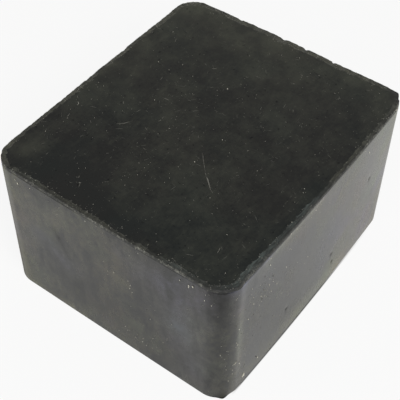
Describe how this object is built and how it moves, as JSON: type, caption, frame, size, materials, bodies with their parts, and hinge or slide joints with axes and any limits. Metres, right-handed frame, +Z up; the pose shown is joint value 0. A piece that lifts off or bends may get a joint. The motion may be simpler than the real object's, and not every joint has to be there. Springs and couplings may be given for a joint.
{
  "type": "rubber block",
  "caption": "Solid moulded rubber block with rounded upright corners and a trimmed top rim, for resting or damping things on a bench.",
  "frame": {"origin": "centre of the flat base", "axes": "+Z up, X across the shorter width, Y along the longer depth; the parting groove and trimmed rim are at +Z"},
  "size_m": [0.07, 0.08, 0.0445],
  "materials": {
    "rubber": "satin moulded black rubber, dusty, matte on the top face"
  },
  "bodies": {
    "root": {"rubber_block": "rubber"}
  },
  "joints": []
}
